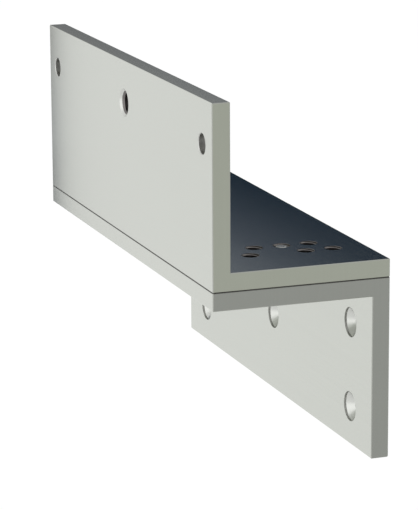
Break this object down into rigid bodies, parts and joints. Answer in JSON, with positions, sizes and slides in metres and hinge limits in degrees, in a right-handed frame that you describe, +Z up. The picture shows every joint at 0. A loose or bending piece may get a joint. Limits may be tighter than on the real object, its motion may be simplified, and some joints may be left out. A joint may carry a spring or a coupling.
{
  "type": "z mounting bracket",
  "caption": "Z-shaped offset bracket: two aluminium angles screwed shelf to shelf, with countersunk wall holes below and device holes above.",
  "frame": {"origin": "middle of the four wall screw holes, on the back face that lies against the wall", "axes": "+X along the bracket, -Y out of the front, away from the wall, +Z up"},
  "size_m": [0.175, 0.06, 0.12],
  "materials": {
    "angle_aluminium": "satin anodised",
    "screw_steel": "zinc plated"
  },
  "bodies": {
    "root": {"upper_angle": "angle_aluminium", "lower_angle": "angle_aluminium", "left_joining_screw": "screw_steel", "right_joining_screw": "screw_steel"}
  },
  "joints": []
}
